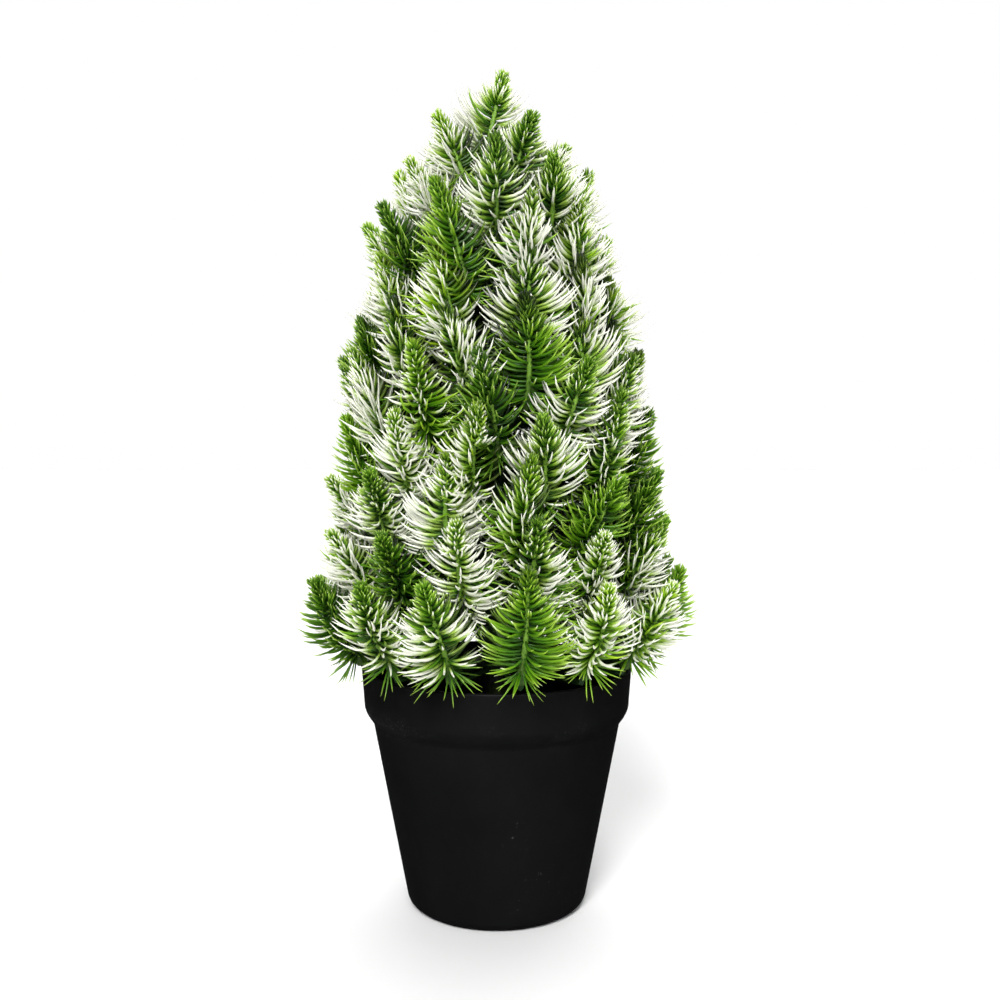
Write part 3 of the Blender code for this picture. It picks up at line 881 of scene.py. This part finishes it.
def potSection():
    make = potMake
    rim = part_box("pot")[1].x
    wall, foot, lip = make["wall"], make["footRecess"], make["lipRound"]
    crease = rim - make["bandDraft"] - make["stepDepth"]
    creaseHeight = potTop - make["bandHeight"]
    bandLow = creaseHeight + make["stepHeight"]
    taper = (crease - make["baseRadius"]) / creaseHeight
    slope = math.hypot(1.0, taper)
    # the recessed underside, its foot ring and the rounded foot
    baseRound = make["baseRound"]
    roundCentre = make["baseRadius"] + taper * baseRound - baseRound * slope
    footInside = roundCentre - make["footWidth"]
    curves, lower = make["recessEdge"]
    before, above, after = make["ringEdge"]
    section = [(0.0, foot), (footInside / 2, foot), (footInside - foot * curves, foot)]
    section += [(footInside - foot * lower, foot * lower), (footInside - before, above)]
    section += [(footInside + after, 0.0), (footInside + make["footWidth"] * make["ringFlat"], 0.0)]
    wallAngle = -math.degrees(math.atan(taper))
    section += arcPoints(roundCentre, baseRound, baseRound, -90.0, wallAngle, make["roundPoints"])
    # straight body in a few lengths, then the small fillet at the crease
    for share in make["bodyShares"]:
        height = baseRound + (creaseHeight - make["bodyTop"] - baseRound) * share
        section.append((make["baseRadius"] + taper * height, height))
    section.append((crease - taper * make["fillet"], creaseHeight - make["fillet"]))
    # the rounded step, the band and the lip
    for share in np.linspace(0.0, 1.0, make["stepPoints"]):
        swell = make["stepDepth"] * math.sin(share * math.pi / 2)
        section.append((crease + swell, creaseHeight + make["stepHeight"] * share))
    for share in make["bandShares"]:
        height = bandLow + (potTop - make["bodyTop"] - bandLow) * share
        section.append((rim - make["bandDraft"] * (1.0 - share), height))
    section += arcPoints(rim - lip, potTop - lip, lip, 0.0, 90.0, make["lipPoints"])
    # down the inner wall to the floor
    inside = rim - wall
    edgeOut, edgeDown = make["lipEdge"]
    section += [(inside + lip * make["innerRound"], potTop), (inside + edgeOut, potTop - edgeDown)]
    section += [(inside, potTop - lip), (inside - make["bandDraft"], bandLow)]
    section += [(crease - wall, creaseHeight)]
    floor = foot + wall
    innerFoot = make["baseRadius"] + taper * floor - wall * slope
    innerHeight = make["innerWallHeight"]
    section += [(innerFoot + taper * innerHeight, floor + innerHeight), (innerFoot, floor + wall)]
    section += [(innerFoot - wall, floor), (0.0, floor)]
    return section


def mergeCentre(mesh):
    # the rings at the middle of the floor and of the underside become single points
    made = bmesh.new()
    made.from_mesh(mesh)
    bmesh.ops.remove_doubles(made, verts=made.verts, dist=1e-6)
    bmesh.ops.recalc_face_normals(made, faces=made.faces)
    made.to_mesh(mesh)
    made.free()


def makePot():
    make = potMake
    section = potSection()
    segments = make["segments"]
    turn = np.arange(segments) * math.tau / segments
    # the moulding isn't perfectly round: the band and the wall wander by a fraction of a millimetre
    wander = sum(size * np.sin(count * turn + start) for count, size, start in make["waves"])
    wander /= make["waveScale"]
    steady = make["steadyBelow"]
    points, quads = [], []
    for radius, height in section:
        near = np.clip((height - steady) / (potTop - steady), 0.0, 1.0)
        near = near * (radius > make["steadyWithin"])
        ring = radius - make["wobble"] * (1.0 + wander) * near
        heights = np.full(segments, height)
        points.append(np.stack([ring * np.cos(turn), ring * np.sin(turn), heights], axis=1))
    for i in range(len(section) - 1):
        quads.append(tubeQuads(2, segments, i * segments))
    mesh = newMesh("plantPot", np.concatenate(points), np.concatenate(quads), [potMaterial()])
    mergeCentre(mesh)
    addPiece("plantPot", mesh, ["pot"])
    print("pot turned:", len(section), "section points")


potLook = {
    "black": (0.0040, 0.0040, 0.0042),
    "scuff": (0.22, 0.22, 0.22),
    "cloudScale": 22.0,
    "cloudShades": ((0.30, 0.85), (0.75, 1.25)),
    "grainScale": 1500.0,
    "patchScale": 30.0,
    # noise values between which specks and scuffs, and the patches they lie in, begin and are full
    "speckScale": 620.0,
    "specks": (0.66, 0.74),
    "speckPatches": (0.58, 0.72),
    "speckStrength": 0.26,
    "scuffScale": 1300.0,
    "scuffs": (0.56, 0.70),
    "scuffPatches": (0.46, 0.62),
    "scuffStrength": 0.30,
    "roughness": 0.50,
    "cloudRoughness": 0.16,
    "grainRoughness": 0.08,
    "grainBump": 0.00006,
    "grainStrength": 0.5,
    "cloudBump": 0.0005,
    "cloudStrength": 0.25,
    "specular": 0.15,
}


def potMaterial():
    look = potLook
    made, nodes, links, shader = newMaterial("potPlastic")
    place = objectPlace(nodes)
    cloudy = noiseNode(nodes, links, place, look["cloudScale"], 4.0, 0.6)
    grain = noiseNode(nodes, links, place, look["grainScale"], 2.0, 0.6)
    patches = noiseNode(nodes, links, place, look["patchScale"], 2.0, 0.5)
    shades = [(at, tuple(share * c for c in look["black"])) for at, share in look["cloudShades"]]
    base = colourRamp(nodes, links, cloudy, shades)
    # small pale specks, where it has been handled
    speckNoise = noiseNode(nodes, links, place, look["speckScale"], 2.0, 0.5)
    specks = rangeNode(nodes, links, speckNoise, look["specks"])
    speckPatches = rangeNode(nodes, links, patches, look["speckPatches"], (0.0, look["speckStrength"]))
    specks = mathNode(nodes, links, "MULTIPLY", specks, speckPatches)
    # faint scuffs along the step under the band
    apart = nodes.new("ShaderNodeSeparateXYZ")
    links.new(place, apart.inputs[0])
    stepMiddle = potTop - potMake["bandHeight"] + potMake["stepHeight"] * 0.6
    offStep = mathNode(nodes, links, "SUBTRACT", apart.outputs["Z"], stepMiddle)
    offStep = mathNode(nodes, links, "ABSOLUTE", offStep)
    onStep = rangeNode(nodes, links, offStep, (0.0, potMake["stepHeight"]), (1.0, 0.0))
    scuffNoise = noiseNode(nodes, links, place, look["scuffScale"], 2.0, 0.6)
    scuffs = rangeNode(nodes, links, scuffNoise, look["scuffs"], (0.0, look["scuffStrength"]))
    scuffPatches = rangeNode(nodes, links, patches, look["scuffPatches"])
    scuffs = mathNode(nodes, links, "MULTIPLY", scuffs, onStep)
    scuffs = mathNode(nodes, links, "MULTIPLY", scuffs, scuffPatches)
    marks = mathNode(nodes, links, "MAXIMUM", specks, scuffs)
    links.new(mixColours(nodes, links, marks, base, look["scuff"]), shader.inputs["Base Color"])
    rough = swingNode(nodes, links, cloudy, look["cloudRoughness"], look["roughness"])
    rough = mathNode(nodes, links, "MULTIPLY_ADD", grain, look["grainRoughness"], rough)
    links.new(rough, shader.inputs["Roughness"])
    fine = bumpFrom(nodes, links, grain, look["grainBump"], look["grainStrength"])
    bumped = bumpFrom(nodes, links, cloudy, look["cloudBump"], look["cloudStrength"], fine)
    links.new(bumped, shader.inputs["Normal"])
    shader.inputs["Specular IOR Level"].default_value = look["specular"]
    return made


makePot()


# finishes for the pieces that stay as the frame has them

# colour, how much it swings either way, roughness, scale of the grain and depth of its bump
insideLook = {
    "whorl_plastic": ((0.016, 0.050, 0.010), 0.35, 0.45, 500.0, 0.0002),
    "stem_plastic": ((0.040, 0.060, 0.016), 0.30, 0.50, 420.0, 0.0002),
    "black_plastic": ((0.011, 0.011, 0.012), 0.25, 0.58, 700.0, 0.0002),
    "cement": ((0.300, 0.290, 0.270), 0.30, 0.88, 260.0, 0.0006),
    "steel": ((0.450, 0.450, 0.460), 0.10, 0.34, 900.0, 0.0001),
}
# what those finishes have in common
insideMake = {
    "cloudScale": 60.0,
    "cloudSpan": (0.30, 0.70),
    "grainSpan": (0.2, 0.8),
    "roughSwing": 0.08,
    "bumpStrength": 0.7,
}


def plainMaterial(name):
    colour, swing, rough, grainScale, depth = insideLook[name]
    make = insideMake
    made, nodes, links, shader = newMaterial(name + "Finish")
    place = objectPlace(nodes)
    cloudy = noiseNode(nodes, links, place, make["cloudScale"], 3.0, 0.6)
    grain = noiseNode(nodes, links, place, grainScale, 3.0, 0.6)
    dark = tuple(c * (1.0 - swing) for c in colour)
    pale = tuple(c * (1.0 + swing) for c in colour)
    shades = colourRamp(nodes, links, cloudy, list(zip(make["cloudSpan"], (dark, pale))))
    links.new(shades, shader.inputs["Base Color"])
    span = (rough - make["roughSwing"], rough + make["roughSwing"])
    links.new(rangeNode(nodes, links, grain, make["grainSpan"], span), shader.inputs["Roughness"])
    links.new(bumpFrom(nodes, links, grain, depth, make["bumpStrength"]), shader.inputs["Normal"])
    shader.inputs["Metallic"].default_value = 1.0 if name == "steel" else 0.0
    return made


def paintFrame():
    slotOf = {node: "whorl_plastic" for node in cadNodes if node.startswith("whorl")}
    slotOf.update({
        "top_cap": "whorl_plastic",
        "stem_tube": "stem_plastic",
        "weight_cover": "black_plastic",
        "stem_socket": "black_plastic",
        "stop_ring": "black_plastic",
        "pot_weight": "cement",
        "core_rod": "steel",
    })
    finishes = {name: plainMaterial(name) for name in insideLook}
    for node, slotName in slotOf.items():
        for slot in cadNodes[node].material_slots:
            slot.material = finishes[slotName]
    print("frame painted:", len(slotOf), "nodes")


paintFrame()


# floor, light and camera

studioSet = {
    "floorSize": 14.0,
    "floorColour": (0.92, 0.92, 0.92),
    "floorRoughness": 0.9,
    "tentRadius": 9.0,
    "tentRings": 24,
    "tentSegments": 48,
    "tentPole": 0.001,  # the small hole at its top and foot, as an angle
    "worldStrength": 0.05,
    # name, direction that the light comes from, softness in degrees, strength
    "lights": (
        ("keyLight", (-0.20, -1.00, 0.86), 20.0, 2.9),
        ("fillLight", (0.26, -1.00, 0.50), 44.0, 0.9),
        ("topLight", (0.03, 0.20, 1.30), 60.0, 1.6),
        ("backLight", (0.15, 1.00, 0.75), 60.0, 1.0),
    ),
}


def stageObject(name, points, quads, material):
    made = bpy.data.objects.new(name, newMesh(name, points, quads, [material], False))
    bpy.context.scene.collection.objects.link(made)
    return made


def makeFloor():
    half = studioSet["floorSize"] / 2
    points = np.array([(-half, -half, 0.0), (half, -half, 0.0), (half, half, 0.0), (-half, half, 0.0)])
    made, _, _, shader = newMaterial("floorPaper")
    shader.inputs["Base Color"].default_value = (*studioSet["floorColour"], 1.0)
    shader.inputs["Roughness"].default_value = studioSet["floorRoughness"]
    floor = stageObject("floor", points, np.array([[0, 1, 2, 3]]), made)
    floor.visible_glossy = False


def makeTent():
    # a white tent behind everything, which only the camera sees
    radius, pole = studioSet["tentRadius"], studioSet["tentPole"]
    rings, segments = studioSet["tentRings"], studioSet["tentSegments"]
    tilt = np.linspace(pole, math.pi - pole, rings)[:, None]
    turn = np.arange(segments) * math.tau / segments
    points = radius * np.stack([
        np.sin(tilt) * np.cos(turn),
        np.sin(tilt) * np.sin(turn),
        np.cos(tilt) * np.ones(segments),
    ], axis=-1).reshape(-1, 3)
    made = bpy.data.materials.new("tentWhite")
    made.use_nodes = True
    tree = made.node_tree
    tree.nodes.remove(tree.nodes["Principled BSDF"])
    glow = tree.nodes.new("ShaderNodeEmission")
    tree.links.new(glow.outputs["Emission"], tree.nodes["Material Output"].inputs["Surface"])
    tent = stageObject("tent", points, tubeQuads(rings, segments), made)
    tent.visible_diffuse = False
    tent.visible_glossy = False
    tent.visible_transmission = False
    tent.visible_shadow = False


def makeLights():
    world = bpy.data.worlds.new("studio")
    bpy.context.scene.world = world
    world.use_nodes = True
    background = world.node_tree.nodes["Background"]
    background.inputs["Color"].default_value = (1.0, 1.0, 1.0, 1.0)
    background.inputs["Strength"].default_value = studioSet["worldStrength"]
    for name, source, softness, strength in studioSet["lights"]:
        data = bpy.data.lights.new(name, "SUN")
        data.angle = math.radians(softness)
        data.energy = strength
        light = bpy.data.objects.new(name, data)
        light.location = source
        light.rotation_euler = Vector(source).to_track_quat("Z", "Y").to_euler()
        bpy.context.scene.collection.objects.link(light)


cameraSet = {
    "place": (0.0016, -0.550, 0.2266),
    "tilt": math.radians(86.79),
    "lens": 41.0,
    "sensor": 36.0,
    "nearest": 0.01,
}


def makeCamera():
    data = bpy.data.cameras.new("camera")
    data.lens = cameraSet["lens"]
    data.sensor_width = cameraSet["sensor"]
    data.clip_start = cameraSet["nearest"]
    camera = bpy.data.objects.new("camera", data)
    camera.location = cameraSet["place"]
    camera.rotation_euler = (cameraSet["tilt"], 0.0, 0.0)
    bpy.context.scene.collection.objects.link(camera)
    bpy.context.scene.camera = camera


makeFloor()
makeTent()
makeLights()
makeCamera()
bpy.context.scene.view_settings.view_transform = "Standard"
print("studio ready")
